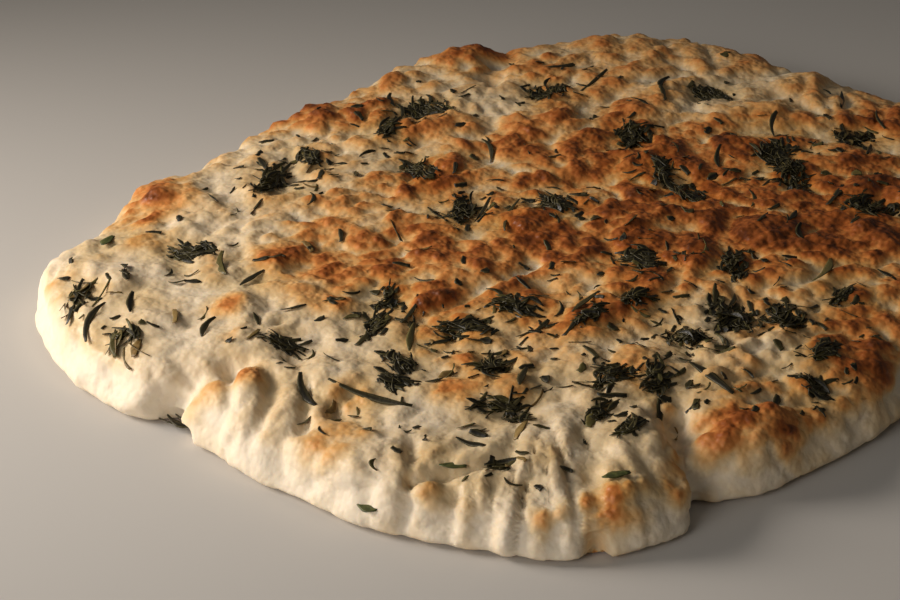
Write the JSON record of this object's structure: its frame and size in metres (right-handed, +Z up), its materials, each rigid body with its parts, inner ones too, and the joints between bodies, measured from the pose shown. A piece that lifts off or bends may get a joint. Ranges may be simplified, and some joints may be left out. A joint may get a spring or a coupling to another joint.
{
  "type": "focaccia",
  "caption": "Flat rectangular focaccia about 374 by 312 mm with a pale, partly toasted crust and chopped baked rosemary and thyme on top.",
  "frame": {"origin": "on the flat underside, under the middle of the loaf's outline", "axes": "+Z up through the crust, +X along the loaf's longer side, -Y towards the side with the long pressed-down fold"},
  "size_m": [0.3745, 0.3117, 0.0259],
  "materials": {
    "crust": "baked crust, pale cream to toasted brown, glossy with oil in places",
    "rosemary": "dried and oily dark green leaf",
    "thyme": "matt green leaf"
  },
  "bodies": {
    "root": {"loaf": "crust", "rosemary_leaf_01": "rosemary", "rosemary_leaf_02": "rosemary", "rosemary_leaf_03": "rosemary", "rosemary_leaf_04": "rosemary", "rosemary_leaf_05": "rosemary", "rosemary_leaf_06": "rosemary", "rosemary_leaf_07": "rosemary", "rosemary_leaf_08": "rosemary", "rosemary_leaf_09": "rosemary", "rosemary_leaf_10": "rosemary", "rosemary_leaf_11": "rosemary", "rosemary_leaf_12": "rosemary", "rosemary_leaf_13": "rosemary", "rosemary_tuft_01": "rosemary", "rosemary_tuft_02": "rosemary", "rosemary_tuft_03": "rosemary", "rosemary_tuft_04": "rosemary", "rosemary_tuft_05": "rosemary", "rosemary_tuft_06": "rosemary", "rosemary_tuft_07": "rosemary", "rosemary_tuft_08": "rosemary", "rosemary_tuft_09": "rosemary", "rosemary_tuft_10": "rosemary", "rosemary_tuft_11": "rosemary", "rosemary_tuft_12": "rosemary", "rosemary_tuft_13": "rosemary", "rosemary_tuft_14": "rosemary", "rosemary_tuft_15": "rosemary", "rosemary_tuft_16": "rosemary", "rosemary_tuft_17": "rosemary", "rosemary_tuft_18": "rosemary", "rosemary_tuft_19": "rosemary", "rosemary_tuft_20": "rosemary", "rosemary_tuft_21": "rosemary", "rosemary_tuft_22": "rosemary", "rosemary_tuft_23": "rosemary", "rosemary_tuft_24": "rosemary", "rosemary_tuft_25": "rosemary", "rosemary_tuft_26": "rosemary", "rosemary_tuft_27": "rosemary", "rosemary_tuft_28": "rosemary", "rosemary_tuft_29": "rosemary", "rosemary_tuft_30": "rosemary", "rosemary_tuft_31": "rosemary", "rosemary_tuft_32": "rosemary", "rosemary_tuft_33": "rosemary", "rosemary_tuft_34": "rosemary", "rosemary_tuft_35": "rosemary", "rosemary_tuft_36": "rosemary", "rosemary_tuft_37": "rosemary", "rosemary_tuft_38": "rosemary", "rosemary_tuft_39": "rosemary", "rosemary_tuft_40": "rosemary", "rosemary_tuft_41": "rosemary", "rosemary_tuft_42": "rosemary", "rosemary_tuft_43": "rosemary", "thyme_leaf_01": "thyme", "thyme_leaf_02": "thyme", "thyme_leaf_03": "thyme"}
  },
  "joints": []
}
